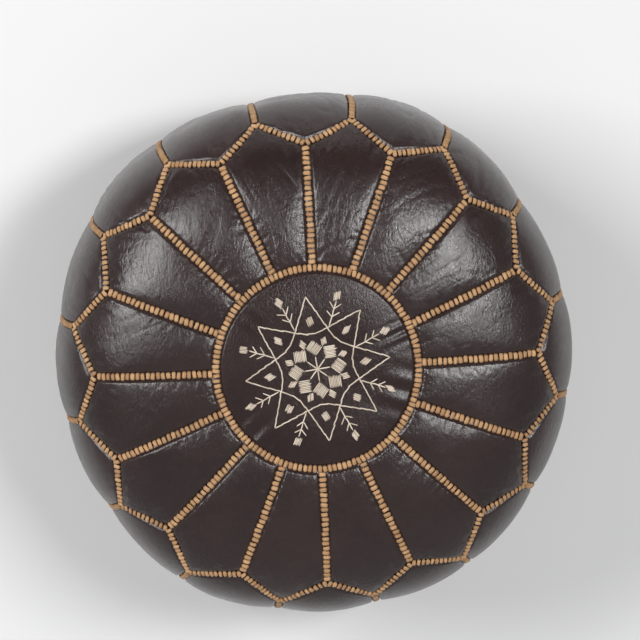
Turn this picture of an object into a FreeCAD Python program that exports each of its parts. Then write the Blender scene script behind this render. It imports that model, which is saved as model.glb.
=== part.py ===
import FreeCAD, Part
import math
import os

# A round stuffed leather pouf, in millimetres, +Z up. The origin is on the floor under its middle.
# Sixteen pointed petals round an embroidered medallion make the top, sixteen panels make the side,
# and a round base split by a zip closes it. The stuffing fills it.

V = FreeCAD.Vector
UP = V(0, 0, 1)
DOWN = V(0, 0, -1)
OUT = V(1, 0, 0)
IN = V(-1, 0, 0)
ORIGIN = V(0, 0, 0)
TALL = 1000.0  # taller and wider than the pouf, for shapes that only cut

# The outside of the leather is one surface of revolution
SIDES = 16
STEP = 360.0 / SIDES
TURN = 2.86  # degrees from +X to the first seam between petals
EQUATOR_R = 265.0
EQUATOR_Z = 160.0
TOP_RISE = 165.0  # from the equator to the top
TOP_POWER = 3.6  # superellipse power: a flat top with tight shoulders
FLOOR_R = 190.0  # the cover rests on a flat ring of its base, out to this circle
UNDER_POWER = 2.3  # superellipse power from there up to the equator
REST_R = 178.0  # the inner edge of that ring
RECESS_R = 150.0  # inside this circle the base is flat and drawn up
RECESS = 8.0
LEATHER = 1.8  # goatskin and its lining

# Seams, as seen from above
RING_R = 99.5
SHOULDER_R = 222.5
TIP_R = 247.5
BASE_R = 208.0
CUT_GAP = 0.15  # from a cut edge to the middle of its seam

# Stitching stands on the leather
STITCH_LOW = 0.05
STITCH_HIGH = 1.3
BEAD_W = 8.0
EDGE_W = 7.0
SIDE_W = 7.0
BAND_GAP = 0.2

# Embroidery
THREAD_LOW = 0.05
THREAD_HIGH = 0.7
THREAD_W = 1.2
POINTS = 8
STAR_TURN = 9.5
STAR_TIP_R = 0.72 * RING_R
STAR_INNER_R = 0.346 * RING_R
ROSETTE_R = 0.212 * RING_R
ROSETTE_HALF = 8.0
LEAF_R = 0.752 * RING_R
LEAF_TURN = 30.0
LEAF_HALF = 4.8

# Zip across the base, along X
ZIP_HALF = 143.0
SLIT_HALF = 5.5
TAPE_IN = 1.6
TAPE_OUT = 17.0
TAPE_LOW = RECESS + LEATHER + 0.05
TAPE_THICK = 0.8
TOOTH_PITCH = 3.0
TOOTH_LONG = 1.3
TOOTH_REACH = 0.9  # past the middle, between the other row's teeth
TOOTH_BACK = 3.9
TOOTH_LOW = TAPE_LOW - 0.6
TOOTH_HIGH = TAPE_LOW + TAPE_THICK + 0.6
TEETH_START = -138.0
TEETH_END = 134.5
STOP_LONG = 3.0
STOP_GAP = 0.8  # from the closed slider to the stops
STUFFING_GAP = 0.3
ZIP_ROOM = (150.0, 19.0, 13.6)  # half length, half width and top of the zip's space in the stuffing

SLIDER_X = 133.0  # the slider when the zip is closed
SLIDER_HALF = 6.5
SLIDER_SIDE = 5.2
PLATE = 1.2
PLATE_CLEAR = 0.2
LIP = 0.8
CORNER = 2.0
POST_HALF = 0.9
POST_LONG = 4.0
BAIL_HALF = 1.2
PIVOT_DROP = 1.8  # from the slider's lower plate to the pull's bar
BAR_R = 0.8
BAR_CLEAR = 0.06
BAIL_R = 1.7
PULL_LONG = 26.0
PULL_HALF = 4.2
PULL_THICK = 1.5
ARM_IN = 1.5
WINDOW = 3.4


def superellipse(middle_r, half_r, half_z, power, angle, offset):
    """A point on the quarter superellipse, angle from the axis, moved out by offset."""
    u = math.sin(angle)
    w = math.cos(angle)
    reach = ((u / half_r) ** power + (w / abs(half_z)) ** power) ** (-1.0 / power)
    r = reach * u
    z = reach * w
    slope_r = r ** (power - 1) / half_r ** power
    slope_z = z ** (power - 1) / abs(half_z) ** power
    size = math.hypot(slope_r, slope_z)
    r += offset * slope_r / size
    z += offset * slope_z / size
    return V(middle_r + r, 0, EQUATOR_Z + math.copysign(z, half_z))


def quarter(middle_r, half_z, power, offset, points=15):
    """The points of one quarter, from its end by the axis to the equator."""
    half_r = EQUATOR_R - middle_r
    angles = [math.pi / 2 * i / (points - 1) for i in range(points)]
    return [superellipse(middle_r, half_r, half_z, power, a, offset) for a in angles]


def rise(offset, points=9):
    """The base's step from its flat ring on the floor up to its flat middle."""
    found = []
    for i in range(points):
        share = i / (points - 1)
        r = REST_R + (RECESS_R - REST_R) * share
        z = RECESS * (1 - math.cos(math.pi * share)) / 2
        found.append(V(r, 0, z - offset))
    return found


def spline(points, first_way, last_way):
    """A smooth curve through the points that starts and ends along the given directions."""
    curve = Part.BSplineCurve()
    curve.interpolate(Points=points, InitialTangent=first_way, FinalTangent=last_way)
    return curve.toShape()


def outline(offset):
    """The cover's half section from the top's middle to the base's middle, moved out by offset."""
    top = quarter(0, TOP_RISE, TOP_POWER, offset)
    under = quarter(FLOOR_R, -EQUATOR_Z, UNDER_POWER, offset)
    step = rise(offset)
    last = V(0, 0, step[-1].z)
    edges = [spline(top, OUT, DOWN), spline(under[::-1], DOWN, IN), spline(step, IN, IN)]
    edges += [Part.makeLine(under[0], step[0]), Part.makeLine(step[-1], last)]
    return edges, top[0], last


def turned(edges, first, last, other, other_first, other_last, start, span):
    loop = edges + other
    loop.append(Part.makeLine(first, other_first))
    loop.append(Part.makeLine(last, other_last))
    face = Part.Face(Part.Wire(Part.__sortEdges__(loop)))
    face.rotate(ORIGIN, UP, start)
    return face.revolve(ORIGIN, UP, span)


def shell(low, high, start=0.0, span=360.0):
    """The layer from low to high outside the leather's outer surface."""
    outer, outer_first, outer_last = outline(high)
    inner, inner_first, inner_last = outline(low)
    return turned(outer, outer_first, outer_last, inner, inner_first, inner_last, start, span)


def filled(offset):
    """Everything inside the surface moved out by offset."""
    edges, first, last = outline(offset)
    face = Part.Face(Part.Wire(Part.__sortEdges__(edges + [Part.makeLine(last, first)])))
    return face.revolve(ORIGIN, UP, 360.0)


def at(radius, degrees):
    a = math.radians(degrees)
    return V(radius * math.cos(a), radius * math.sin(a), 0)


def seam_angle(k):
    return TURN + STEP * k


def column(points, low, high):
    """An upright prism over a polygon."""
    corners = [V(p.x, p.y, low) for p in points]
    return Part.Face(Part.makePolygon(corners + corners[:1])).extrude(V(0, 0, high - low))


def moved_sides(points, distance):
    """A polygon that runs anticlockwise, with each side moved in by distance."""
    found = []
    for i, here in enumerate(points):
        before = (here - points[i - 1]).normalize()
        after = (points[(i + 1) % len(points)] - here).normalize()
        half = V(-(before.y + after.y), before.x + after.x, 0).normalize()
        lean = half.x * -before.y + half.y * before.x
        found.append(here + half * (distance / lean))
    return found


def box(x0, x1, y0, y1, z0, z1):
    return Part.makeBox(x1 - x0, y1 - y0, z1 - z0, V(x0, y0, z0))


def disc(radius, low, high):
    return Part.makeCylinder(radius, high - low, V(0, 0, low))


def turned_copy(shape, degrees):
    copy = shape.copy()
    copy.rotate(ORIGIN, UP, degrees)
    return copy


def around(shape, count=SIDES):
    return Part.makeCompound([turned_copy(shape, 360.0 / count * k) for k in range(count)])


def save(name, shape):
    solids = shape.Solids
    result = solids[0] if len(solids) == 1 else Part.makeCompound(solids)
    assert solids and all(s.isValid() and s.Volume > 0 for s in solids), name
    result.exportStep("parts/" + name + ".step")
    print(name, len(solids), round(result.Volume), result.BoundBox)


# The face


def star():
    """The zigzag that the petals' points and shoulders make, anticlockwise."""
    found = []
    for k in range(SIDES):
        found.append(at(SHOULDER_R, seam_angle(k)))
        found.append(at(TIP_R, seam_angle(k) + STEP / 2))
    return found


def above(points):
    return column(points, EQUATOR_Z, TALL)


def medallion():
    return shell(-LEATHER, 0).common(disc(RING_R - CUT_GAP, EQUATOR_Z, TALL))


def petal():
    """The petal between the first seam and the second."""
    first = seam_angle(0)
    corners = [ORIGIN, at(SHOULDER_R, first), at(TIP_R, first + STEP / 2), at(SHOULDER_R, first + STEP)]
    skin = shell(-LEATHER, 0, first - 1, STEP + 2)
    piece = skin.common(above(moved_sides(corners, CUT_GAP)))
    return piece.cut(disc(RING_R + CUT_GAP, 0, TALL))


def side_panel():
    """The panel whose peak meets the first seam between petals."""
    first = seam_angle(0)
    skin = shell(-LEATHER, 0, first - STEP / 2, STEP)
    piece = skin.cut(above(moved_sides(star(), -CUT_GAP)))
    piece = piece.cut(disc(BASE_R + CUT_GAP, -TALL, EQUATOR_Z))
    for side in (-1, 1):
        edge = box(0, TALL, -CUT_GAP, CUT_GAP, -TALL, TALL)
        edge.rotate(ORIGIN, UP, first + side * STEP / 2)
        piece = piece.cut(edge)
    return piece


def base_half():
    """Half of the round base, with its side of the zip's slit."""
    half = shell(-LEATHER, 0).common(disc(BASE_R - CUT_GAP, -TALL, EQUATOR_Z))
    half = half.common(box(-TALL, TALL, CUT_GAP, TALL, -TALL, EQUATOR_Z))
    return half.cut(box(-ZIP_HALF - 4, ZIP_HALF + 4, -TALL, SLIT_HALF, -TALL, TALL))


def stuffing():
    zip_x, zip_y, zip_top = ZIP_ROOM
    return filled(-LEATHER - STUFFING_GAP).cut(box(-zip_x, zip_x, -zip_y, zip_y, -TALL, zip_top))


# Stitching


def floss():
    return shell(STITCH_LOW, STITCH_HIGH)


def strip(width, degrees):
    """An upright slab from the axis outwards along one direction."""
    slab = box(0, TALL, -width / 2, width / 2, -TALL, TALL)
    slab.rotate(ORIGIN, UP, degrees)
    return slab


def ring_stitching():
    outer = disc(RING_R + BEAD_W / 2, EQUATOR_Z, TALL)
    return floss().common(outer.cut(disc(RING_R - BEAD_W / 2, 0, 2 * TALL)))


def petal_seam_stitching():
    inside = above(moved_sides(star(), EDGE_W / 2 + BAND_GAP))
    inside = inside.cut(disc(RING_R + BEAD_W / 2 + BAND_GAP, 0, 2 * TALL))
    return around(floss().common(strip(BEAD_W, seam_angle(0)).common(inside)))


def petal_edge_stitching():
    outer = above(moved_sides(star(), -EDGE_W / 2))
    return floss().common(outer.cut(column(moved_sides(star(), EDGE_W / 2), 0, 2 * TALL)))


def side_seam_stitching():
    seam = floss().common(strip(SIDE_W, seam_angle(0) + STEP / 2))
    seam = seam.cut(above(moved_sides(star(), -EDGE_W / 2 - BAND_GAP)))
    return around(seam.cut(disc(BASE_R + BEAD_W / 2 + BAND_GAP, -TALL, EQUATOR_Z)))


def base_seam_stitching():
    outer = disc(BASE_R + BEAD_W / 2, -TALL, EQUATOR_Z)
    return floss().common(outer.cut(disc(BASE_R - BEAD_W / 2, -2 * TALL, 2 * TALL)))


def square(radius, degrees, half):
    """A square standing on a corner that points to the middle."""
    middle = at(radius, degrees)
    corners = [middle + at(half, degrees + 90 * i) for i in range(4)]
    return above(corners)


def star_line(degrees):
    """The line between two of the star's points, bent in towards the middle."""
    path = [
        at(STAR_TIP_R, degrees - 45),
        at(STAR_INNER_R, degrees),
        at(STAR_TIP_R, degrees + 45),
    ]
    aside = at(THREAD_W / 2, degrees)
    outer = [place + aside for place in path]
    inner = [place - aside for place in reversed(path)]
    return above(outer + inner)


def embroidery():
    figures = []
    for k in range(POINTS):
        figures.append(star_line(STAR_TURN + 45 * k))
        figures.append(square(ROSETTE_R, STAR_TURN + 45 * k, ROSETTE_HALF))
        figures.append(square(LEAF_R, LEAF_TURN + 45 * k, LEAF_HALF))
    layer = shell(THREAD_LOW, THREAD_HIGH)
    return layer.common(figures[0].multiFuse(figures[1:]))


# Zip


def tape():
    return box(-ZIP_HALF - 3, ZIP_HALF + 3, TAPE_IN, TAPE_OUT, TAPE_LOW, TAPE_LOW + TAPE_THICK)


def tooth():
    """One tooth of the row at +Y, gripping the tape's edge, centred on x = 0."""
    body = box(-TOOTH_LONG / 2, TOOTH_LONG / 2, -TOOTH_REACH, TOOTH_BACK, TOOTH_LOW, TOOTH_HIGH)
    grip = box(-5, 5, TAPE_IN - 0.02, TALL, TAPE_LOW - 0.02, TAPE_LOW + TAPE_THICK + 0.02)
    return body.cut(grip)


def teeth(shift):
    """A row of teeth that starts a shift along from the start of the chain."""
    one = tooth()
    count = int((TEETH_END - TEETH_START - shift) / TOOTH_PITCH) + 1
    row = []
    for i in range(count):
        copy = one.copy()
        copy.translate(V(TEETH_START + shift + i * TOOTH_PITCH, 0, 0))
        row.append(copy)
    return Part.makeCompound(row)


def other_side(shape):
    return shape.mirror(ORIGIN, V(0, 1, 0))


def zip_stops():
    """One stop across both tapes at the start of the chain, and one on each tape at its end."""
    low = TOOTH_LOW
    high = TAPE_LOW - 0.02
    start = TEETH_START - TOOTH_LONG
    end = SLIDER_X + SLIDER_HALF + STOP_GAP
    first = box(start - STOP_LONG, start, -TOOTH_BACK, TOOTH_BACK, low, high)
    last = box(end, end + STOP_LONG, TAPE_IN, TOOTH_BACK, low, high)
    return Part.makeCompound([first, last, other_side(last)])


def slider_plate(low):
    """One of the slider's two plates, with rounded corners."""
    side = SLIDER_SIDE
    plate = box(SLIDER_X - SLIDER_HALF, SLIDER_X + SLIDER_HALF, -side, side, low, low + PLATE)
    return plate.makeFillet(CORNER, [e for e in plate.Edges if abs(e.Length - PLATE) < 1e-6])


def zip_slider():
    """Two plates joined by a post, with lips over the tapes' edges and a bail for the pull."""
    low = TOOTH_LOW - PLATE_CLEAR - PLATE
    high = TOOTH_HIGH + PLATE_CLEAR
    side = SLIDER_SIDE
    start = SLIDER_X - SLIDER_HALF + CORNER
    end = SLIDER_X + SLIDER_HALF - CORNER
    tape_low = TAPE_LOW - PLATE_CLEAR
    tape_high = TAPE_LOW + TAPE_THICK + PLATE_CLEAR
    body = slider_plate(low).fuse(slider_plate(high))
    for y in (-side, side - LIP):
        body = body.fuse(box(start, end, y, y + LIP, low, tape_low))
        body = body.fuse(box(start, end, y, y + LIP, tape_high, high + PLATE))
    front = SLIDER_X + SLIDER_HALF
    body = body.fuse(box(front - POST_LONG, front, -POST_HALF, POST_HALF, low, high + PLATE))
    pivot = V(SLIDER_X, -BAIL_HALF, low - PIVOT_DROP)
    bail = Part.makeCylinder(BAIL_R, 2 * BAIL_HALF, pivot, V(0, 1, 0))
    bail = bail.fuse(box(pivot.x - BAIL_R, pivot.x + BAIL_R, -BAIL_HALF, BAIL_HALF, pivot.z, low))
    hole = Part.makeCylinder(BAR_R + BAR_CLEAR, 2 * BAIL_HALF, pivot, V(0, 1, 0))
    return body.fuse(bail.cut(hole)).removeSplitter()


def zip_pull():
    """The pull, lying flat along -X from its bar."""
    z = TOOTH_LOW - PLATE_CLEAR - PLATE - PIVOT_DROP
    low = z - PULL_THICK / 2
    high = z + PULL_THICK / 2
    inner = SLIDER_X - WINDOW
    plate = box(SLIDER_X - PULL_LONG, inner, -PULL_HALF, PULL_HALF, low, high)
    corners = [e for e in plate.Edges if abs(e.Length - PULL_THICK) < 1e-6 and e.BoundBox.XMax < inner - 1]
    plate = plate.makeFillet(PULL_HALF - 1.2, corners)
    plate = plate.cut(Part.makeCylinder(2.0, TALL, V(SLIDER_X - PULL_LONG + 5, 0, low - 1)))
    arm = box(inner, SLIDER_X, ARM_IN, PULL_HALF - 1, low, high)
    eye = Part.makeCylinder(PULL_THICK / 2, PULL_HALF - 1 - ARM_IN, V(SLIDER_X, ARM_IN, z), V(0, 1, 0))
    arm = arm.fuse(eye)
    bar = Part.makeCylinder(BAR_R, 2 * ARM_IN + 0.4, V(SLIDER_X, -ARM_IN - 0.2, z), V(0, 1, 0))
    return plate.multiFuse([arm, other_side(arm), bar]).removeSplitter()


os.makedirs("parts", exist_ok=True)
save("medallion", medallion())
save("embroidery", embroidery())
first_petal = petal()
first_panel = side_panel()
for k in range(SIDES):
    save("petal_%02d" % (k + 1), turned_copy(first_petal, STEP * k))
    save("side_panel_%02d" % (k + 1), turned_copy(first_panel, STEP * k))
first_half = base_half()
save("base_half_front", other_side(first_half))
save("base_half_back", first_half)
save("stuffing", stuffing())
save("ring_stitching", ring_stitching())
save("petal_seam_stitching", petal_seam_stitching())
save("petal_edge_stitching", petal_edge_stitching())
save("side_seam_stitching", side_seam_stitching())
save("base_seam_stitching", base_seam_stitching())
save("zip_tape_front", other_side(tape()))
save("zip_tape_back", tape())
save("zip_teeth_front", other_side(teeth(TOOTH_PITCH / 2)))
save("zip_teeth_back", teeth(0.0))
save("zip_stops", zip_stops())
save("zip_slider", zip_slider())
save("zip_pull", zip_pull())
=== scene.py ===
import math

import bpy
import numpy as np
from mathutils import Matrix, Vector


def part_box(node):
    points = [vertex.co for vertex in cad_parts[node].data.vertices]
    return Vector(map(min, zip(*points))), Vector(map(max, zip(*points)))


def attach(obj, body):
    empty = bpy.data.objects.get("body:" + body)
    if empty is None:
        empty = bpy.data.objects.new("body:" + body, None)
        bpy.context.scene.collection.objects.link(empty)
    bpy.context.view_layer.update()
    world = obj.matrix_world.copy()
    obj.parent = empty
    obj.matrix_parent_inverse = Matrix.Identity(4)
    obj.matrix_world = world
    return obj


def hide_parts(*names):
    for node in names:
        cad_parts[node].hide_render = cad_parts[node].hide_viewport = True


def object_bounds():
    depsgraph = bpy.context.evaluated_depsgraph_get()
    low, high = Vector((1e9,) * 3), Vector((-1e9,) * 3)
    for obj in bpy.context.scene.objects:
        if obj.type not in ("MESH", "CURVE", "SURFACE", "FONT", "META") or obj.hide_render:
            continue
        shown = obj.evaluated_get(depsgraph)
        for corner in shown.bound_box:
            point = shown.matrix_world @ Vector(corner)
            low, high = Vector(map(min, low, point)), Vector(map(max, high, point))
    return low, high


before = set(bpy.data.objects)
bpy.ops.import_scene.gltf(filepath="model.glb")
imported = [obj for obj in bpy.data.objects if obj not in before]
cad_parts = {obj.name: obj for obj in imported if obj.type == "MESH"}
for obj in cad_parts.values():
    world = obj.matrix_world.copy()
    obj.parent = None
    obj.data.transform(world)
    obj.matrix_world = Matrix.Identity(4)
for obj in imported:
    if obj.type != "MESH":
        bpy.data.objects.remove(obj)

# A stuffed leather pouf on a pale floor. Metres, +Z up, in the frame of the CAD model.
# Every leather piece, stitch and thread is laid on one surface, the cover, by two coordinates:
# the angle round the axis, and the distance run along the cover from the middle of its top.

cad_low, cad_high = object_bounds()
rng = np.random.default_rng(16)

MM = 0.001
SIDES = 16
STEP = 2 * math.pi / SIDES
TURN = math.radians(2.86)  # from +X to the first seam between petals

# The cover
EQUATOR_R = (cad_high.x - cad_low.x) / 2
EQUATOR_Z = 160 * MM
TOP_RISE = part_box("medallion")[1].z - EQUATOR_Z
TOP_POWER = 3.6
FLOOR_R = 190 * MM
UNDER_POWER = 2.3
REST_R = 178 * MM
RECESS_R = 150 * MM
RECESS = 8 * MM
LEATHER = 1.8 * MM

# The slit for the zip, along X under the base
SLIT_END = 147 * MM
SLIT_HALF = 5.5 * MM

# The seams, in plan
SEAM_GAP = 0.15 * MM
RING_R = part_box("medallion")[1].x + SEAM_GAP
SHOULDER_R = 222.5 * MM
TIP_R = 247.5 * MM
BASE_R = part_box("base_half_back")[1].x + SEAM_GAP
JUST_INSIDE = 0.9999  # of BASE_R, which keeps the base just short of its seam
SLOPE = 0.85  # from a distance measured along the cover to one square to a slanted seam

# How the stuffed leather stands out between its seams
VALLEY = 2.2 * MM
VALLEY_IN = 2.6 * MM
VALLEY_OUT = 6.4 * MM
PUFF = 3.2 * MM
PUFF_W = 26 * MM
TUCK = 4.8 * MM
DENT = 1.0 * MM
GATHER = 0.7 * MM
GATHER_REACH = 22 * MM
OUTLINE_LUMPS = ((2, 1.9, 168), (3, 0.8, 102), (4, 1.9, -137), (6, 1.6, 29))  # order, mm, degrees

# The cloth simulation: it runs on a larger copy of the cover, where the solver is steadier
DRAPE_SCALE = 10
DRAPE_FRAMES = 30
DRAPE_SLACK = (0.01, 0.15)
DRAPE_PRESSURE = 2.0

# Tucks in the medallion's edge: direction in degrees, depth in mm, width and length
TUCKS = (
    (226, 1.2, 18 * MM, 28 * MM),
    (24, 0.8, 11 * MM, 26 * MM),
    (-14, 1.1, 22 * MM, 26 * MM),
    (143, 0.5, 16 * MM, 22 * MM),
)

# Stitches
BEAD = {"pitch": 5.1 * MM, "long": 7.8 * MM, "wide": 4.15 * MM, "high": 3.4 * MM}
EDGE_BEAD = {"pitch": 4.9 * MM, "long": 7.2 * MM, "wide": 3.9 * MM, "high": 3.2 * MM}
SIDE_BEAD = {"pitch": 2.7 * MM, "long": 6.6 * MM, "wide": 3.0 * MM, "high": 2.2 * MM}


# Noise


def lattice(cell, seed):
    """A steady random value from -1 to 1 for each whole-number cell."""
    x, y, z = (cell[..., i].astype(np.int64) for i in range(3))
    mixed = (x * 73856093) ^ (y * 19349663) ^ (z * 83492791) ^ (seed * 2654435761)
    mixed = (mixed ^ (mixed >> 13)) * 1274126177
    mixed = (mixed ^ (mixed >> 16)) & 0xFFFF
    return mixed / 32767.5 - 1


def noise(points, size, seed):
    """Smooth noise from -1 to 1 with features about size across."""
    scaled = points / size + 31.7
    cell = np.floor(scaled)
    part = scaled - cell
    part = part * part * (3 - 2 * part)
    total = np.zeros(points.shape[:-1])
    for corner in np.ndindex(2, 2, 2):
        weight = np.prod(np.where(np.array(corner) == 1, part, 1 - part), axis=-1)
        total += weight * lattice(cell + np.array(corner), seed)
    return total


def creases(across, along, wide, long, seed):
    """Thin lines, 1 on a crease and 0 away from it, that run mostly along."""
    flat = np.stack([across / wide, along / long, np.zeros_like(across)], axis=-1)
    flat = flat + 0.5 * noise(flat * [0.5, 1.0, 1.0], 1.0, seed + 5)[..., None]
    return np.exp(-((noise(flat, 1.0, seed) / 0.16) ** 2))


# The cover's surface


def quarter(middle_r, half_z, power):
    """A quarter of a superellipse, from its end by the axis to the equator."""
    angle = np.linspace(0, math.pi / 2, 500)
    half_r = EQUATOR_R - middle_r
    reach = (np.sin(angle) / half_r) ** power + (np.cos(angle) / abs(half_z)) ** power
    reach = reach ** (-1 / power)
    return middle_r + reach * np.sin(angle), EQUATOR_Z + np.sign(half_z) * reach * np.cos(angle)


def section():
    """Half a section through the cover: distance run, radius, height and outward normal."""
    top_r, top_z = quarter(0, TOP_RISE, TOP_POWER)
    under_r, under_z = quarter(FLOOR_R, -EQUATOR_Z, UNDER_POWER)
    share = np.linspace(0, 1, 60)[1:]
    rise_r = REST_R + (RECESS_R - REST_R) * share
    rise_z = RECESS * (1 - np.cos(math.pi * share)) / 2
    r = np.concatenate([top_r, under_r[::-1][1:], [REST_R], rise_r, [0.0]])
    z = np.concatenate([top_z, under_z[::-1][1:], [0.0], rise_z, [RECESS]])
    run = np.concatenate([[0], np.cumsum(np.hypot(np.diff(r), np.diff(z)))])
    way_r, way_z = np.gradient(r, run), np.gradient(z, run)
    size = np.hypot(way_r, way_z)
    return run, r, z, -way_z / size, way_r / size


RUN, RUN_R, RUN_Z, OUT_R, OUT_Z = section()
EQUATOR_RUN = RUN[np.argmax(RUN_R)]


def top_run(radius):
    """The distance run to a radius on the top."""
    top = RUN <= EQUATOR_RUN
    return np.interp(radius, RUN_R[top], RUN[top])


def under_run(radius):
    """The distance run to a radius below the equator."""
    under = RUN >= EQUATOR_RUN
    return np.interp(-radius, -RUN_R[under], RUN[under])


RING_RUN = float(top_run(RING_R))
SHOULDER_RUN = float(top_run(SHOULDER_R))
TIP_RUN = float(top_run(TIP_R))
BASE_RUN = float(under_run(BASE_R))


def bare(angle, run, lift=0.0):
    r = np.interp(run, RUN, RUN_R) + lift * np.interp(run, RUN, OUT_R)
    z = np.interp(run, RUN, RUN_Z) + lift * np.interp(run, RUN, OUT_Z)
    return np.stack(np.broadcast_arrays(r * np.cos(angle), r * np.sin(angle), z), axis=-1)


def lumps(angle, run):
    """The slow unevenness of a hand-stuffed cover, which dies out towards the floor."""
    r = np.interp(run, RUN, RUN_R) / EQUATOR_R
    z = np.interp(run, RUN, RUN_Z)
    total = 2.2 * noise(bare(angle, run), 110 * MM, 1) + 0.8 * noise(bare(angle, run), 45 * MM, 2)
    for order, amount, phase in OUTLINE_LUMPS:
        total = total + amount * np.cos(order * angle - math.radians(phase)) * r ** 2
    held = np.clip(z / (90 * MM), 0, 1) ** 2
    return (total * MM - TUCK) * np.where(run < EQUATOR_RUN, 1.0, held)


def cover(angle, run, lift=0.0):
    """Points of the stuffed cover, lifted off it by lift."""
    return bare(angle, run, lumps(angle, run) + lift)


def valley(*edges):
    """How far leather dips along its seams, from its distances to them."""
    near = 1.0
    for distance in edges:
        share = np.clip((distance - VALLEY_IN) / (VALLEY_OUT - VALLEY_IN), 0, 1)
        near = near * share * share * (3 - 2 * share)
    return VALLEY * (near - 1)


# Meshes


def new_piece(name, verts, faces, material, body="cover"):
    mesh = bpy.data.meshes.new(name)
    mesh.from_pydata([tuple(v) for v in verts], [], faces)
    mesh.polygons.foreach_set("use_smooth", [True] * len(mesh.polygons))
    mesh.update()
    piece = bpy.data.objects.new(name, mesh)
    bpy.context.scene.collection.objects.link(piece)
    mesh.materials.append(material)
    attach(piece, body)
    return piece


def grid_faces(rows, columns, first=0, flip=False):
    found = []
    for i in range(rows - 1):
        for j in range(columns - 1):
            a = first + i * columns + j
            quad = (a, a + columns, a + columns + 1, a + 1)
            found.append(quad[::-1] if flip else quad)
    return found


def ring_faces(rows, around, first=0, flip=False):
    """Faces between rings of points that each close on themselves."""
    found = []
    for i in range(rows - 1):
        for j in range(around):
            a = first + i * around + j
            b = first + i * around + (j + 1) % around
            quad = (a, a + around, b + around, b)
            found.append(quad[::-1] if flip else quad)
    return found


def rim(rows, columns):
    """The outline of a grid, as indices in order."""
    top = list(range(columns))
    right = [i * columns + columns - 1 for i in range(1, rows)]
    low = [(rows - 1) * columns + j for j in range(columns - 2, -1, -1)]
    left = [i * columns for i in range(rows - 2, 0, -1)]
    return top + right + low + left


def sheet_of_leather(name, outer, inner, material):
    """A closed piece of leather between two grids of points."""
    rows, columns = outer.shape[:2]
    count = rows * columns
    faces = grid_faces(rows, columns) + grid_faces(rows, columns, count, flip=True)
    loop = rim(rows, columns)
    for a, b in zip(loop, loop[1:] + loop[:1]):
        faces.append((a, b, b + count, a + count))
    verts = np.concatenate([outer.reshape(-1, 3), inner.reshape(-1, 3)])
    return new_piece(name, verts, faces, material)


def add_values(piece, name, values):
    """A number for each point, which the piece's material reads by name."""
    layer = piece.data.attributes.new(name, "FLOAT", "POINT")
    layer.data.foreach_set("value", np.ravel(values).astype(np.float32))


def tubes(centres, sides, ups, half_w, half_h, lobes, twist, depth, around):
    """Many short tubes in one go: arrays are tube by ring. Returns points, faces and tube numbers."""
    count, rings = centres.shape[:2]
    turn = np.arange(around) * 2 * math.pi / around
    start = rng.uniform(0, 2 * math.pi, (count, 1, 1))
    spin = start + twist * np.linspace(-1, 1, rings)[None, :, None]
    swelling = 1 + depth * np.cos(lobes * turn[None, None, :] - spin)
    wide = (half_w[..., None] * swelling * np.cos(turn))[..., None]
    high = (half_h[..., None] * swelling * np.sin(turn))[..., None]
    points = centres[:, :, None] + sides[:, :, None] * wide + ups[:, :, None] * high
    faces = []
    for t in range(count):
        first = t * rings * around
        for i in range(rings - 1):
            for j in range(around):
                a = first + i * around + j
                b = first + i * around + (j + 1) % around
                faces.append((a, b, b + around, a + around))
        faces.append(tuple(first + j for j in range(around))[::-1])
        faces.append(tuple(first + (rings - 1) * around + j for j in range(around)))
    return points.reshape(-1, 3), faces, np.repeat(np.arange(count), rings * around)


def denser_ends(first, last, count):
    """Steps from first to last that are half as long near both."""
    even = np.linspace(-1, 1, count)
    eased = (even + np.sin(even * math.pi / 2)) / 2
    return first + (last - first) * (eased + 1) / 2


def unit(v):
    return v / np.linalg.norm(v, axis=-1, keepdims=True)


# Materials


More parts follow.
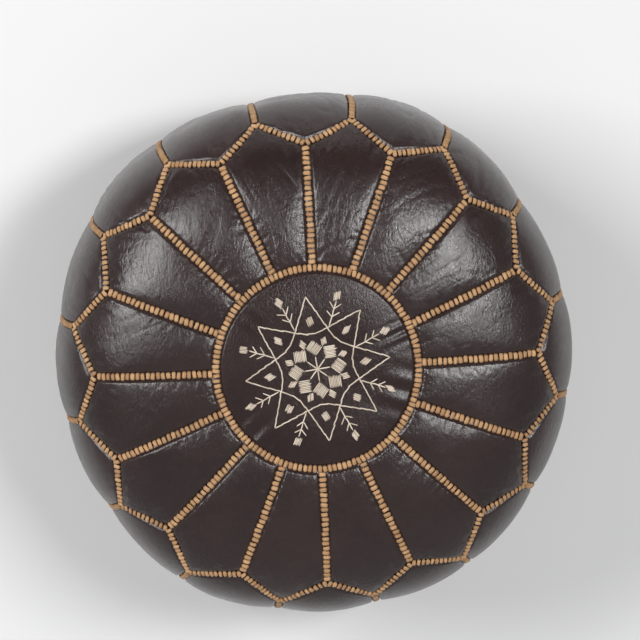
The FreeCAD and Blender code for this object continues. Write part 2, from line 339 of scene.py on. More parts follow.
class Nodes:
    """A material's node tree, built one node at a time."""

    def __init__(self, name):
        self.material = bpy.data.materials.new(name)
        self.material.use_nodes = True
        self.tree = self.material.node_tree
        self.shader = self.tree.nodes["Principled BSDF"]
        place = self.tree.nodes.new("ShaderNodeTexCoord")
        self.place = place.outputs["Object"]

    def add(self, kind, **settings):
        node = self.tree.nodes.new(kind)
        for name, value in settings.items():
            setattr(node, name, value)
        return node

    def link(self, source, target):
        self.tree.links.new(source, target)

    def put(self, node, **values):
        for name, value in values.items():
            socket = node.inputs[name.replace("_", " ")]
            if isinstance(value, bpy.types.NodeSocket):
                self.link(value, socket)
            else:
                socket.default_value = value
        return node

    def noise(self, scale, detail=4.0, rough=0.5, distort=0.0, place=None):
        node = self.add("ShaderNodeTexNoise")
        self.put(node, Vector=place or self.place, Scale=scale, Detail=detail)
        self.put(node, Roughness=rough, Distortion=distort)
        return node.outputs["Fac"]

    def cell_edges(self, scale, place):
        node = self.add("ShaderNodeTexVoronoi", feature="DISTANCE_TO_EDGE")
        self.put(node, Vector=place, Scale=scale)
        return node.outputs["Distance"]

    def spread(self, value, low, high, to_low=0.0, to_high=1.0):
        node = self.add("ShaderNodeMapRange")
        self.put(node, Value=value, From_Min=low, From_Max=high, To_Min=to_low, To_Max=to_high)
        return node.outputs["Result"]

    def math(self, operation, a, b):
        node = self.add("ShaderNodeMath", operation=operation)
        for socket, value in zip(node.inputs, (a, b)):
            if isinstance(value, bpy.types.NodeSocket):
                self.link(value, socket)
            else:
                socket.default_value = value
        return node.outputs["Value"]

    def blend(self, share, first, second):
        node = self.add("ShaderNodeMix", data_type="RGBA")
        self.link(share, node.inputs["Factor"])
        for socket, colour in ((node.inputs[6], first), (node.inputs[7], second)):
            if isinstance(colour, bpy.types.NodeSocket):
                self.link(colour, socket)
            else:
                socket.default_value = (*colour, 1)
        return node.outputs[2]

    def value(self, name):
        node = self.add("ShaderNodeAttribute", attribute_name=name)
        return node.outputs["Fac"]

    def bump(self, height, distance, strength, after=None):
        node = self.add("ShaderNodeBump")
        self.put(node, Height=height, Distance=distance, Strength=strength)
        if after is not None:
            self.link(after, node.inputs["Normal"])
        return node.outputs["Normal"]

    def stretched(self, scale, turn=(0, 0, 0)):
        node = self.add("ShaderNodeMapping")
        self.put(node, Vector=self.place, Scale=scale, Rotation=turn)
        return node.outputs["Vector"]

    def finish(self, **values):
        self.put(self.shader, **values)
        return self.material


def leather(name, dark, light, shine, ior=1.5):
    """Waxed goatskin: fine grain, wrinkles in patches, uneven dye and polish, and a lighter colour along
    the seams that is partly rubbed wear and partly a painted highlight.
    """
    n = Nodes(name)
    tone = n.noise(14.0, 5.0, 0.55)
    fine_tone = n.noise(160.0, 3.0)
    mixed = n.math("ADD", n.math("MULTIPLY", tone, 0.7), n.math("MULTIPLY", fine_tone, 0.3))
    dye = n.blend(n.spread(mixed, 0.36, 0.66), dark, light)
    # Lighter colour along the seams, in patches: partly rubbed wear, partly a painted highlight on the
    # leather's edge beside the stitches.
    wear_and_highlight = n.math("MULTIPLY", n.value("seam"), n.spread(n.noise(60.0, 3.0), 0.45, 0.75))
    colour = n.blend(n.math("MULTIPLY", wear_and_highlight, 0.35), dye, tuple(2.4 * c for c in light))
    grain = n.noise(520.0, 5.0, 0.62, 0.7, n.stretched((1.0, 0.5, 0.8), (0, 0, 0.5)))
    patches = n.spread(n.noise(12.0, 2.0), 0.42, 0.62)
    lines = n.cell_edges(150.0, n.stretched((1.0, 0.6, 1.0), (0, 0, 0.7)))
    lines = n.spread(lines, 0.0, 0.16)
    long_lines = n.noise(70.0, 4.0, 0.55, 1.2, n.stretched((1.0, 0.3, 0.6), (0, 0, -0.6)))
    normal = n.bump(grain, 0.0008, 0.40)
    normal = n.bump(lines, 0.0003, n.math("MULTIPLY", patches, 0.32), normal)
    normal = n.bump(long_lines, 0.0016, 0.22, normal)
    rough = n.math("ADD", n.math("MULTIPLY", n.noise(30.0, 4.0, 0.6), 0.2), shine)
    return n.finish(Base_Color=colour, Roughness=rough, Normal=normal, IOR=ior)


def thread(name, dark, light, rough=0.62):
    """Twisted floss with a soft sheen; strands run along each stitch, and painted shade darkens the stitch
    ends.
    """
    n = Nodes(name)
    strands = n.noise(1500.0, 2.0, 0.5, 0.4)
    tint = n.math("ADD", n.math("MULTIPLY", n.value("tint"), 0.6), n.math("MULTIPLY", strands, 0.4))
    colour = n.blend(n.spread(tint, 0.15, 0.85), dark, light)
    # Painted shade: the stitch ends, where the floss dips into the seam, are darkened towards 0.3 of the
    # dark colour.
    deep = n.blend(n.value("low"), colour, tuple(0.3 * c for c in dark))
    normal = n.bump(strands, 0.0003, 0.6)
    return n.finish(Base_Color=deep, Roughness=rough, Normal=normal, Sheen_Weight=0.25, Sheen_Roughness=0.4)


def brass(name):
    n = Nodes(name)
    age = n.noise(220.0, 5.0, 0.6)
    colour = n.blend(n.spread(age, 0.4, 0.65), (0.42, 0.29, 0.12), (0.16, 0.11, 0.06))
    scratches = n.noise(900.0, 2.0, 0.5, 0.0, n.stretched((0.1, 1.0, 1.0)))
    rough = n.spread(age, 0.3, 0.7, 0.28, 0.55)
    return n.finish(Base_Color=colour, Roughness=rough, Metallic=1.0, Normal=n.bump(scratches, 0.0001, 0.4))


def woven_tape(name):
    n = Nodes(name)
    warp = n.add("ShaderNodeTexWave", bands_direction="Y")
    n.put(warp, Vector=n.place, Scale=420.0)
    weft = n.add("ShaderNodeTexWave", bands_direction="X")
    n.put(weft, Vector=n.place, Scale=420.0)
    weave = n.math("MULTIPLY", warp.outputs["Fac"], weft.outputs["Fac"])
    colour = n.blend(weave, (0.012, 0.009, 0.008), (0.05, 0.036, 0.03))
    return n.finish(Base_Color=colour, Roughness=0.85, Normal=n.bump(weave, 0.0003, 0.7))


def wadding(name):
    n = Nodes(name)
    tufts = n.noise(70.0, 6.0, 0.65, 0.8)
    colour = n.blend(tufts, (0.55, 0.50, 0.42), (0.85, 0.82, 0.75))
    return n.finish(Base_Color=colour, Roughness=0.95, Normal=n.bump(tufts, 0.003, 0.8))


def plain_floor(name):
    n = Nodes(name)
    colour = n.blend(n.noise(3.0, 3.0), (0.86, 0.86, 0.86), (0.88, 0.88, 0.88))
    return n.finish(Base_Color=colour, Roughness=0.75)


petal_leather = leather("petal_leather", (0.021, 0.0110, 0.0102), (0.032, 0.0174, 0.0161), 0.17, 1.58)
disc_leather = leather("disc_leather", (0.021, 0.0110, 0.0102), (0.032, 0.0174, 0.0161), 0.17, 1.45)
side_leather = leather("side_leather", (0.022, 0.0115, 0.0105), (0.034, 0.018, 0.0165), 0.20, 1.62)
base_leather = leather("base_leather", (0.020, 0.0110, 0.0105), (0.032, 0.018, 0.017), 0.40)
tan_floss = thread("tan_floss", (0.40, 0.215, 0.095), (0.61, 0.365, 0.18))
side_floss = thread("side_floss", (0.34, 0.18, 0.072), (0.52, 0.30, 0.135))
cream_silk = thread("cream_silk", (0.56, 0.45, 0.34), (0.81, 0.70, 0.575), 0.5)


# Leather pieces


def tip_edge(offset):
    """The plan radius of the zigzag at an angle from a petal's point."""
    shoulder = SHOULDER_R * np.array([math.cos(STEP / 2), math.sin(STEP / 2)])
    side = shoulder - [TIP_R, 0]
    normal = np.array([side[1], -side[0]]) / np.hypot(*side)
    offset = np.abs(offset)
    return TIP_R * normal[0] / (np.cos(offset) * normal[0] + np.sin(offset) * normal[1])


def seam_wear_and_highlight(*edges):
    """1 at a seam, fading to 0 away from it, for the material's lighter colour there, which is partly
    rubbed wear and partly a painted highlight.
    """
    return np.exp(-np.maximum(np.minimum.reduce(edges), 0) / (4 * MM))


def fold(angle, run, seed, lean, strength=1.0):
    """Fine creases over one piece of leather, in patches, running at an angle of lean."""
    r = np.interp(run, RUN, RUN_R)
    across = r * angle
    x = across * math.cos(lean) - run * math.sin(lean)
    y = across * math.sin(lean) + run * math.cos(lean)
    where = np.stack([across, run, np.full_like(across, seed * 0.37)], axis=-1)
    patch = np.clip(0.4 + 1.5 * noise(where, 55 * MM, seed), 0, 1)
    coarse = creases(x, y, 14 * MM, 70 * MM, seed + 11)
    fine = creases(x, y, 6 * MM, 28 * MM, seed + 23)
    return -strength * patch * (0.45 * MM * coarse + 0.22 * MM * fine)


def gathers(across, edge, seed):
    """Short folds that run away from a seam which draws the leather in."""
    lines = creases(across, edge, 7 * MM, 60 * MM, seed)
    return GATHER * lines * np.exp(-((edge / GATHER_REACH) ** 2))


def creased(middle):
    """How creased a panel is: the ones towards -Y lie smooth."""
    return 0.55 + 0.45 * math.cos(middle - math.radians(100))


def petal_places(k, across, along):
    """Angle and run of a petal's points, from its shares across (-1 to 1) and along (0 to 1)."""
    offset = across[None, :] * STEP / 2
    far = top_run(tip_edge(offset))
    run = RING_RUN + (far - RING_RUN) * along[:, None]
    return TURN + STEP * (k + 0.5) + offset + 0 * run, run


def panel_places(k, across, along):
    """Angle and run of a side panel's points, from its shares across and along."""
    offset = across[None, :] * STEP / 2
    near = top_run(tip_edge(STEP / 2 - np.abs(offset)))
    run = near + (BASE_RUN - near) * along[:, None]
    return TURN + STEP * k + offset + 0 * run, run


def drape(panels, slackness):
    """Cloth simulation of all the petals at once.

    Each piece of leather is too big for its place by its slackness, its seams are held and the
    wadding presses it outwards, so that it swells and creases. Returns how far each point ends up
    off the cover.
    """
    verts, faces, held, loose = [], [], [], []
    for (angle, run), share in zip(panels, slackness):
        rows, columns = run.shape
        loose += [share] * run.size
        faces += grid_faces(rows, columns, len(verts))
        held += [len(verts) + i for i in rim(rows, columns)]
        verts += list(cover(angle, run).reshape(-1, 3))
    start = np.array(verts)
    mesh = bpy.data.meshes.new("drape")
    mesh.from_pydata([tuple(v) for v in start * DRAPE_SCALE], [], faces)
    piece = bpy.data.objects.new("drape", mesh)
    bpy.context.scene.collection.objects.link(piece)
    piece.vertex_groups.new(name="seam").add(held, 1.0, "REPLACE")
    slack = piece.vertex_groups.new(name="slack")
    patches = np.clip(0.4 + 1.1 * noise(start, 45 * MM, 6), 0, 1)
    for i, share in enumerate(patches * loose):
        slack.add([i], float(share), "REPLACE")
    cloth = piece.modifiers.new("cloth", "CLOTH")
    cloth.collision_settings.use_collision = False
    cloth.point_cache.frame_start = 1
    cloth.point_cache.frame_end = DRAPE_FRAMES
    settings = cloth.settings
    settings.quality = 5
    settings.mass = 0.3
    settings.tension_stiffness = 120
    settings.compression_stiffness = 120
    settings.shear_stiffness = 60
    settings.bending_stiffness = 0.5
    settings.vertex_group_mass = "seam"
    settings.vertex_group_shrink = "slack"
    settings.shrink_min = -DRAPE_SLACK[0]
    settings.shrink_max = -DRAPE_SLACK[1]
    settings.use_pressure = True
    settings.uniform_pressure_force = DRAPE_PRESSURE
    settings.effector_weights.gravity = 0
    for moment in range(1, DRAPE_FRAMES + 1):
        bpy.context.scene.frame_set(moment)
    draped = piece.evaluated_get(bpy.context.evaluated_depsgraph_get()).to_mesh()
    end = np.empty(len(start) * 3)
    draped.vertices.foreach_get("co", end)
    bpy.context.scene.frame_set(1)
    bpy.data.objects.remove(piece)
    bpy.data.meshes.remove(mesh)
    moved = end.reshape(-1, 3) / DRAPE_SCALE - start
    found = []
    first = 0
    for angle, run in panels:
        out = unit(cover(angle, run, 1 * MM) - cover(angle, run)).reshape(-1, 3)
        part = np.sum(moved[first:first + run.size] * out, axis=1)
        found.append(part.reshape(run.shape))
        first += run.size
    return found


def between_rows(values, shares):
    """A grid's values at shares of the way down its rows, read along smooth curves."""
    last = len(values) - 1
    place = shares * last
    row = np.clip(np.floor(place).astype(int), 0, last - 1)
    part = (place - row)[:, None]
    a, b, c, d = (values[np.clip(row + step, 0, last)] for step in (-1, 0, 1, 2))
    bend = 3 * (b - c) + d - a
    return b + 0.5 * part * (c - a + part * (2 * a - 5 * b + 4 * c - d + part * bend))


def between(values, across, along):
    """A grid's values at the shares across and along that a piece's points lie at."""
    return between_rows(between_rows(values, along).T, (across + 1) / 2).T


def make_petal(k, draped):
    across = denser_ends(-1, 1, 60)
    along = denser_ends(0, 1, 96)
    angle, run = petal_places(k, across, along)
    middle = TURN + STEP * (k + 0.5)
    offset = angle - middle
    r = np.interp(run, RUN, RUN_R)
    edges = (
        r * np.sin(STEP / 2 + offset),
        r * np.sin(STEP / 2 - offset),
        run - RING_RUN,
        (top_run(tip_edge(offset)) - run) * SLOPE,
    )
    lift = valley(*edges) + np.maximum(between(draped, across, along), -DENT)
    lift = lift + fold(offset, run, 100 + k, rng.uniform(-0.9, 0.9), creased(middle))
    outside = cover(angle, run, lift)
    inside = cover(angle, run, lift - LEATHER)
    piece = sheet_of_leather("petal_leather_%02d" % (k + 1), outside, inside, petal_leather)
    add_values(piece, "seam", np.tile(seam_wear_and_highlight(*edges).ravel(), 2))
    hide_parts("petal_%02d" % (k + 1))


def make_side_panel(k):
    across = denser_ends(-1, 1, 56)
    along = denser_ends(0, 1, 120)
    angle, run = panel_places(k, across, along)
    middle = TURN + STEP * k
    offset = angle - middle
    r = np.interp(run, RUN, RUN_R)
    edges = (
        r * np.sin(STEP / 2 + offset),
        r * np.sin(STEP / 2 - offset),
        (run - top_run(tip_edge(STEP / 2 - np.abs(offset)))) * SLOPE,
        BASE_RUN - run,
    )
    lift = valley(*edges) + PUFF * np.prod([np.tanh(edge / PUFF_W) for edge in edges], axis=0)
    lift = lift + fold(offset, run, 200 + k, rng.uniform(-0.3, 0.3), 1.7 * creased(middle))
    lift = lift - gathers(r * offset, edges[2], 400 + k) - gathers(r * offset, edges[3], 500 + k)
    outside = cover(angle, run, lift)
    inside = cover(angle, run, lift - LEATHER)
    piece = sheet_of_leather("side_leather_%02d" % (k + 1), outside, inside, side_leather)
    add_values(piece, "seam", np.tile(seam_wear_and_highlight(*edges).ravel(), 2))
    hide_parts("side_panel_%02d" % (k + 1))


def make_petals():
    across = np.linspace(-1, 1, 27)
    along = np.linspace(0, 1, 46)
    places = [petal_places(k, across, along) for k in range(SIDES)]
    slackness = [creased(TURN + STEP * (k + 0.5)) for k in range(SIDES)]
    for k, draped in enumerate(drape(places, slackness)):
        make_petal(k, draped)


def medallion_lift(angle, run):
    """The medallion is drawn tight; here and there a tuck runs in from its ring."""
    edge = RING_RUN - run
    lift = valley(edge) + PUFF * np.tanh(edge / PUFF_W)
    for degrees, deep, wide, long in TUCKS:
        off = np.angle(np.exp(1j * (angle - math.radians(degrees)))) * run
        wave = np.cos(2 * math.pi * off / wide) * np.exp(-((off / wide) ** 2))
        lift = lift - deep * MM * wave * np.exp(-((edge / long) ** 2))
    return lift


def make_medallion():
    around = 384
    angle = np.linspace(0, 2 * math.pi, around, endpoint=False)[None, :]
    run = (RING_RUN * np.linspace(0.004, 1, 110) ** 0.8)[:, None]
    angle, run = np.broadcast_arrays(angle, run)
    lift = medallion_lift(angle, run)
    outside = cover(angle, run, lift)
    inside = cover(angle, run, lift - LEATHER)
    rows = len(run)
    count = rows * around
    faces = []
    for layer, flip in ((0, False), (count, True)):
        faces += ring_faces(rows, around, layer, flip)
        centre = tuple(layer + j for j in range(around))
        faces.append(centre[::-1] if flip else centre)
    for j in range(around):
        a = count - around + j
        b = count - around + (j + 1) % around
        faces.append((a, a + count, b + count, b))
    verts = np.concatenate([outside.reshape(-1, 3), inside.reshape(-1, 3)])
    piece = new_piece("medallion_leather", verts, faces, disc_leather)
    add_values(piece, "seam", np.tile(seam_wear_and_highlight(RING_RUN - run).ravel(), 2))
    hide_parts("medallion")


def make_base_half(name, node, way):
    """Half of the base: its straight edge runs along the zip."""
    x = np.linspace(-1, 1, 120)[None, :]
    v = (np.linspace(0, 1, 60)[:, None]) ** 1.1
    far = BASE_R * JUST_INSIDE
    at_x = far * np.sin(x * math.pi / 2)
    edge = np.where(np.abs(at_x) < SLIT_END, SLIT_HALF, SEAM_GAP)
    rim_y = np.sqrt(np.maximum(far ** 2 - at_x ** 2, 0))
    rim_y = np.maximum(rim_y, edge)
    at_y = edge + (rim_y - edge) * v
    at_x = at_x + 0 * v
    r = np.hypot(at_x, at_y)
    angle = np.arctan2(at_y * way, at_x)
    run = under_run(r)
    sag = noise(np.stack([at_x, at_y * way, 0 * at_x], axis=-1), 60 * MM, 9) * 0.8 * MM
    inside_share = np.clip((RECESS_R - r) / (40 * MM), 0, 1)
    lift = sag * inside_share - VALLEY * np.exp(-(BASE_R - r) / VALLEY_OUT)
    lift = lift + fold(angle, run, 300 + way, 0.3, 0.5) * np.clip((r - 20 * MM) / (30 * MM), 0, 1)
    outside = bare(angle, run, np.minimum(lift, 0.0))
    inside = bare(angle, run, np.minimum(lift, 0.0) - LEATHER)
    if way < 0:
        outside, inside = outside[::-1], inside[::-1]
    piece = sheet_of_leather(name, outside[:, ::-1], inside[:, ::-1], base_leather)
    add_values(piece, "seam", np.zeros(2 * r.size))
    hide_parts(node)


def make_stuffing():
    """The wadding that fills the cover, lumpy where it presses on the leather."""
    around, rows = 96, 90
    angle = np.linspace(0, 2 * math.pi, around, endpoint=False)[None, :]
    run = np.linspace(0.01, 0.985, rows)[:, None] * RUN[-1]
    angle, run = np.broadcast_arrays(angle, run)
    where = bare(angle, run)
    lift = -11 * MM + 2 * MM * noise(where, 30 * MM, 4)
    low = np.clip((where[..., 2] - 30 * MM) / (60 * MM), 0, 1)
    points = bare(angle, run, lift - 3 * MM * (1 - low))
    faces = ring_faces(rows, around)
    faces.append(tuple(range(around))[::-1])
    faces.append(tuple((rows - 1) * around + j for j in range(around)))
    piece = new_piece("wadding", points.reshape(-1, 3), faces, wadding("wadding"))
    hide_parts("stuffing")


# Stitches


def walk(angle, run, pitch, inset):
    """Even places along a seam: points, directions along it and outward normals."""
    line = cover(angle, run, -VALLEY)
    out = unit(cover(angle, run, 1 * MM - VALLEY) - line)
    far = np.concatenate([[0], np.cumsum(np.linalg.norm(np.diff(line, axis=0), axis=1))])
    count = max(1, round((far[-1] - 2 * inset) / pitch))
    stops = inset + (np.arange(count) + 0.5) * (far[-1] - 2 * inset) / count
    places = np.stack([np.interp(stops, far, line[:, i]) for i in range(3)], axis=-1)
    ways = np.gradient(line, far, axis=0)
    ways = unit(np.stack([np.interp(stops, far, ways[:, i]) for i in range(3)], axis=-1))
    outs = unit(np.stack([np.interp(stops, far, out[:, i]) for i in range(3)], axis=-1))
    return places, ways, outs


def stitch(name, nodes, rows, bead, material, slot, rings=9, around=14, lean=0.09):
    """One piece with a bundle of floss over the seam at each place of every row."""
    places, ways, outs = (np.concatenate(part) for part in zip(*rows))
    count = len(places)
    across = unit(np.cross(outs, ways))
    turn = rng.normal(0, lean, (count, 1))
    across, ways = (
        across * np.cos(turn) + ways * np.sin(turn),
        ways * np.cos(turn) - across * np.sin(turn),
    )
    size = rng.normal(1, 0.05, (3, count, 1))
    t = -np.cos(np.linspace(0, math.pi, rings))[None, :]
    reach = bead["long"] / 2 * size[0] * t
    round_end = np.sqrt(np.maximum(1 - np.abs(t) ** 4.5, 0.01))
    pinch = 1 - 0.09 * np.exp(-((t / 0.3) ** 2))
    half_w = bead["wide"] / 2 * size[1] * round_end * pinch
    half_h = bead["high"] / 2 * size[2] * round_end * pinch
    arch = VALLEY * 0.45 + bead["high"] * 0.3 - 0.4 * bead["high"] * t ** 4 + 0 * size[2]
    shift = rng.normal(0, 0.25 * MM, (count, 1))
    centres = (
        places[:, None]
        + across[:, None] * (reach + shift)[..., None]
        + outs[:, None] * arch[..., None]
    )
    rings_of = np.ones((1, rings, 1))
    points, faces, owner = tubes(
        centres, ways[:, None] * rings_of, outs[:, None] * rings_of, half_w, half_h,
        lobes=3, twist=1.3, depth=0.16, around=around,
    )
    piece = new_piece(name, points, faces, material)
    add_values(piece, "tint", rng.uniform(0, 1, count)[owner])
    # How much painted shade each ring gets: most at the bundle's ends, where the floss dips into the seam.
    depth = np.repeat((np.abs(t) ** 6 + 0 * size[0]).ravel(), around)
    add_values(piece, "low", depth * 0.7)
    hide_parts(*nodes)


def ring_row():
    found = []
    for k in range(SIDES):
        angle = np.linspace(TURN + STEP * k, TURN + STEP * (k + 1), 60)
        found.append(walk(angle, np.full(60, RING_RUN), BEAD["pitch"], 0))
    return found


def petal_seam_rows():
    found = []
    for k in range(SIDES):
        run = np.linspace(RING_RUN, SHOULDER_RUN, 200)
        found.append(walk(np.full(200, TURN + STEP * k), run, BEAD["pitch"], 3.2 * MM))
    return found


def petal_edge_rows():
    found = []
    for k in range(SIDES):
        middle = TURN + STEP * (k + 0.5)
        for low, high in ((-1, 0), (0, 1)):
            offset = np.linspace(low, high, 80) * STEP / 2
            run = top_run(tip_edge(offset))
            found.append(walk(middle + offset, run, EDGE_BEAD["pitch"], 0.2 * MM))
    return found


def side_seam_rows():
    found = []
    for k in range(SIDES):
        run = np.linspace(TIP_RUN, BASE_RUN, 300)
        found.append(walk(np.full(300, TURN + STEP * (k + 0.5)), run, SIDE_BEAD["pitch"], 3.4 * MM))
    return found


def base_seam_row():
    angle = np.linspace(0, 2 * math.pi, 1200)
    return [walk(angle, np.full(1200, BASE_RUN), SIDE_BEAD["pitch"], 0)]


def make_stitching():
    stitch("ring_stitches", ["ring_stitching"], ring_row(), BEAD, tan_floss, "stitching_thread")
    rows = petal_seam_rows()
    stitch("petal_seam_stitches", ["petal_seam_stitching"], rows, BEAD, tan_floss, "stitching_thread")
    rows = petal_edge_rows()
    stitch("petal_edge_stitches", ["petal_edge_stitching"], rows, EDGE_BEAD, tan_floss, "stitching_thread")
    slot = "side_stitching_thread"
    small = {"rings": 7, "around": 8, "lean": 0.05}
    rows = side_seam_rows()
    stitch("side_seam_stitches", ["side_seam_stitching"], rows, SIDE_BEAD, side_floss, slot, **small)
    rows = base_seam_row()
    stitch("base_seam_stitches", ["base_seam_stitching"], rows, SIDE_BEAD, side_floss, slot, **small)


# Embroidery, drawn on the medallion in plan: distances are shares of the ring's radius

POINTS = 8
EIGHTH = math.pi / 4
STAR_TURN = math.radians(9.5)
STAR_TIP = 0.72
STAR_NEAR = 0.346
STAR_BEND = 0.015
CROSS_R = 0.436
SPRIG_TURN = math.radians(30)
SPRIG_END = 0.7
BARB_RS = (0.535, 0.615)
BARB = 8.6 * MM
BARB_SPREAD = 0.7 * MM
SPRIG_LOZENGE_R = 0.752
SQUARE_R = 0.212
RAY_END = 0.128
STAR_LOZENGE_R = 0.478
INNER_LOZENGE_R = 0.285
INNER_LOZENGE_TURN = math.radians(32)
SILK_W = 1.3 * MM
STEM_STITCH = 8.5 * MM


def polar(radius, angle):
    return np.array([math.cos(angle), math.sin(angle)]) * radius * RING_R


def wobble(amount):
    return rng.normal(0, amount * MM, 2)


def stem_stitches(points, length=STEM_STITCH):
    """A line of slanted, overlapping stitches along a path."""
    far = np.concatenate([[0], np.cumsum(np.linalg.norm(np.diff(points, axis=0), axis=1))])
    count = max(1, round(far[-1] / length))
    found = []
    for i in range(count):
        ends = np.array([i / count, (i + 1) / count]) * far[-1]
        ends = np.clip(ends + [-1.1 * MM, 1.1 * MM], 0, far[-1])
        a, b = (np.array([np.interp(e, far, points[:, j]) for j in range(2)]) for e in ends)
        way = unit(b - a)
        aside = np.array([-way[1], way[0]]) * 0.32 * MM
        found.append((a + aside + wobble(0.15), b - aside + wobble(0.15), SILK_W))
    return found


def satin(centre, way, across_way, half_long, half_wide, strands):
    """A filled patch of side-by-side stitches, each along way."""
    found = []
    for i in range(strands):
        side = (i + 0.5) / strands * 2 - 1
        middle = centre + across_way * (side * half_wide + rng.normal(0, 0.07 * MM))
        ends = rng.normal(0, 0.35 * MM, 2)
        a = middle - way * (half_long + ends[0])
        b = middle + way * (half_long + ends[1])
        found.append((a, b, 2 * half_wide / strands * rng.uniform(0.76, 0.92)))
    return found


def square(k):
    """One of the rosette's squares, a corner towards the centre."""
    angle = STAR_TURN + EIGHTH * k
    way = polar(1 / RING_R, angle - EIGHTH)
    across = polar(1 / RING_R, angle + EIGHTH)
    return satin(polar(SQUARE_R, angle), way, across, 6.0 * MM, 6.1 * MM, 8)


def lozenge(radius, angle, half_long, half_wide, lean, strands):
    """A small slanted patch of satin stitch."""
    way = polar(1 / RING_R, angle + lean)
    across = polar(1 / RING_R, angle + lean + math.radians(rng.normal(112, 9)))
    return satin(polar(radius, angle) + wobble(0.4), way, across, half_long, half_wide, strands)


def star_line(k):
    """From one point of the star to the next but one, bent in towards the middle."""
    reach = STAR_TIP * math.sqrt(0.5)
    aside = np.linspace(-reach, reach, 60)
    start = STAR_NEAR - STAR_BEND
    slope = (reach - start) / reach
    out = start + np.hypot(slope * aside, STAR_BEND)
    turn = STAR_TURN + EIGHTH * k
    x = out * math.cos(turn) - aside * math.sin(turn)
    y = out * math.sin(turn) + aside * math.cos(turn)
    return stem_stitches(np.stack([x, y], axis=-1) * RING_R)


def sprig(k):
    """A stem out from where two star lines cross, with two pairs of barbs and a lozenge."""
    angle = SPRIG_TURN + EIGHTH * k
    found = stem_stitches(np.array([polar(CROSS_R, angle), polar(SPRIG_END, angle)]), 13 * MM)
    for radius in BARB_RS:
        fork = polar(radius, angle)
        for side in (-1, 1):
            way = polar(1 / RING_R, angle + side * math.radians(rng.normal(46, 4)))
            found.append((fork, fork + way * rng.normal(BARB, BARB_SPREAD), SILK_W * 0.9))
    found += lozenge(SPRIG_LOZENGE_R, angle, 4.3 * MM, 3.5 * MM, math.radians(rng.normal(10, 14)), 5)
    return found


def embroidery_stitches():
    found = []
    for k in range(POINTS):
        found += star_line(k)
        found += sprig(k)
        found += square(k)
        ray = STAR_TURN + EIGHTH * k
        found.append((polar(0.0, ray), polar(RAY_END, ray), SILK_W))
        found += lozenge(STAR_LOZENGE_R, ray, 4.3 * MM, 3.4 * MM, math.radians(rng.normal(22, 8)), 5)
        inner = INNER_LOZENGE_TURN + EIGHTH * k
        found += lozenge(INNER_LOZENGE_R, inner, 3.7 * MM, 3.1 * MM, math.radians(rng.normal(26, 12)), 4)
    return found


def make_embroidery():
    stitches = embroidery_stitches()
    starts, ends, widths = (np.array(part) for part in zip(*stitches))
    rings = 9
    t = np.linspace(0, 1, rings)[None, :, None]
    plan = starts[:, None] + (ends - starts)[:, None] * t
    angle = np.arctan2(plan[..., 1], plan[..., 0])
    run = top_run(np.hypot(plan[..., 0], plan[..., 1]))
    level = rng.uniform(0.0, 0.18 * MM, (len(stitches), 1))
    arch = 1 - (2 * t[..., 0] - 1) ** 6
    lift = medallion_lift(angle, run) + 0.4 * MM * arch - 0.15 * MM + level
    centres = cover(angle, run, lift)
    ways = unit(np.gradient(centres, axis=1))
    ups = np.zeros_like(centres)
    ups[..., 2] = 1
    sides = unit(np.cross(ups, ways))
    taper = np.sqrt(np.maximum(1 - np.abs(2 * t[..., 0] - 1) ** 5, 0.05))
    half_w = widths[:, None] / 2 * taper
    half_h = 0.42 * MM * taper + 0 * half_w
    points, faces, owner = tubes(
        centres, sides, ups, half_w, half_h, lobes=3, twist=3.0, depth=0.09, around=8
    )
    piece = new_piece("embroidery_stitches", points, faces, cream_silk)
    add_values(piece, "tint", rng.uniform(0, 1, len(stitches))[owner])
    # No painted shade at the ends of the embroidery's stitches.
    add_values(piece, "low", np.zeros(len(points)))
    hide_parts("embroidery")


# Zip: the CAD pieces stay, with their own materials


def finish_zip():
    metal = brass("aged_brass")
    for name in ("zip_teeth_front", "zip_teeth_back", "zip_stops", "zip_slider", "zip_pull"):
        paint(name, metal)
    tape = woven_tape("woven_tape")
    for name in ("zip_tape_front", "zip_tape_back"):
        paint(name, tape)


def paint(node, material):
    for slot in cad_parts[node].material_slots:
        slot.material = material


# The room

SKY_FRONT = 0.45
SKY_BACK = 0.02
BACKDROP = 0.84
FLOOR_HALF = 4.3  # the floor ends in front of the low window
FLOOR_GAP = 0.2 * MM
CAMERA_AWAY = 3.5
CAMERA_LEAN = 0.125  # radians from upright, towards +Y
CAMERA_SIDE = -0.031  # radians from upright, towards +X
CAMERA_LENS = 192.5
AIM_UP = 29.0 * MM
AIM_RIGHT = 7.8 * MM


def make_floor():
    mesh = bpy.data.meshes.new("floor")
    corners = [(-FLOOR_HALF, -FLOOR_HALF), (FLOOR_HALF, -FLOOR_HALF)]
    corners += [(-x, -y) for x, y in corners]
    mesh.from_pydata([(x, y, -FLOOR_GAP) for x, y in corners], [], [(0, 1, 2, 3)])
    floor = bpy.data.objects.new("floor", mesh)
    bpy.context.scene.collection.objects.link(floor)
    mesh.materials.append(plain_floor("floor"))


def add_light(name, place, target, wide, tall, watts):
    data = bpy.data.lights.new(name, "AREA")
    data.shape = "RECTANGLE"
    data.size = wide
    data.size_y = tall
    data.energy = watts
    light = bpy.data.objects.new(name, data)
    light.location = place
    light.rotation_euler = (Vector(target) - Vector(place)).to_track_quat("-Z", "Y").to_euler()
    light.visible_camera = False
    bpy.context.scene.collection.objects.link(light)


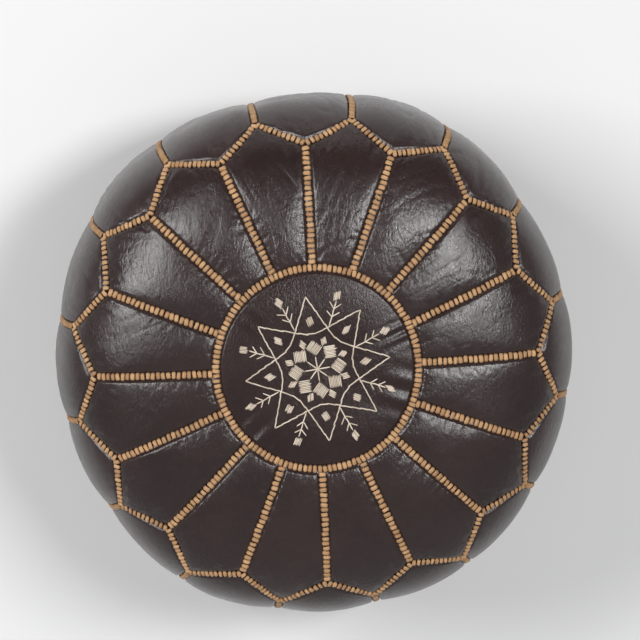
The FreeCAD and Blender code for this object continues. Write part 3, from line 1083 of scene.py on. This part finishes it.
def make_room():
    """Pale to the camera; as light, brighter from the front than from the back."""
    world = bpy.data.worlds.new("room")
    world.use_nodes = True
    tree = world.node_tree
    sky = tree.nodes["Background"]
    sky.inputs["Color"].default_value = (0.97, 0.98, 1.0, 1)
    place = tree.nodes.new("ShaderNodeTexCoord")
    parts = tree.nodes.new("ShaderNodeSeparateXYZ")
    light = tree.nodes.new("ShaderNodeMapRange")
    light.inputs["From Min"].default_value = -1
    light.inputs["To Min"].default_value = SKY_FRONT
    light.inputs["To Max"].default_value = SKY_BACK
    seen = tree.nodes.new("ShaderNodeLightPath")
    level = tree.nodes.new("ShaderNodeMapRange")
    level.inputs["To Max"].default_value = BACKDROP
    tree.links.new(place.outputs["Generated"], parts.inputs["Vector"])
    tree.links.new(parts.outputs["Y"], light.inputs["Value"])
    tree.links.new(seen.outputs["Is Camera Ray"], level.inputs["Value"])
    tree.links.new(light.outputs["Result"], level.inputs["To Min"])
    tree.links.new(level.outputs["Result"], sky.inputs["Strength"])
    bpy.context.scene.world = world


def make_lights():
    middle = (0, 0, 0.2)
    add_light("window_right", (1.90, 0.92, 4.2), middle, 0.85, 1.60, 103)
    add_light("window_left", (-2.65, 1.15, 3.3), middle, 2.0, 1.25, 104)
    add_light("low_window", (0.0, 4.4, 1.0), middle, 3.6, 0.5, 13)
    bpy.context.scene.view_settings.view_transform = "Standard"


def make_camera():
    """Above the pouf and a little towards +Y, looking down on its top."""
    centre = Vector((0, 0, EQUATOR_Z))
    level = math.cos(CAMERA_LEAN)
    way = Vector((math.sin(CAMERA_SIDE) * level, math.sin(CAMERA_LEAN), level * math.cos(CAMERA_SIDE)))
    data = bpy.data.cameras.new("camera")
    data.lens = CAMERA_LENS
    data.sensor_width = 36
    camera = bpy.data.objects.new("camera", data)
    bpy.context.scene.collection.objects.link(camera)
    camera.location = centre + way * CAMERA_AWAY
    up = Vector((0, 1, 0))
    up = (up - way * up.dot(way)).normalized()
    right = up.cross(way)
    aim = centre + up * AIM_UP + right * AIM_RIGHT
    back = (camera.location - aim).normalized()
    right = Vector((0, 1, 0)).cross(back).normalized()
    up = back.cross(right)
    turn = np.array([right, up, back]).T
    camera.rotation_mode = "QUATERNION"
    camera.rotation_quaternion = Matrix(turn.tolist()).to_quaternion()
    bpy.context.scene.camera = camera


make_petals()
for k in range(SIDES):
    make_side_panel(k)
make_medallion()
make_base_half("base_leather_front", "base_half_front", -1)
make_base_half("base_leather_back", "base_half_back", 1)
make_stuffing()
make_stitching()
make_embroidery()
finish_zip()
make_floor()
make_room()
make_lights()
make_camera()
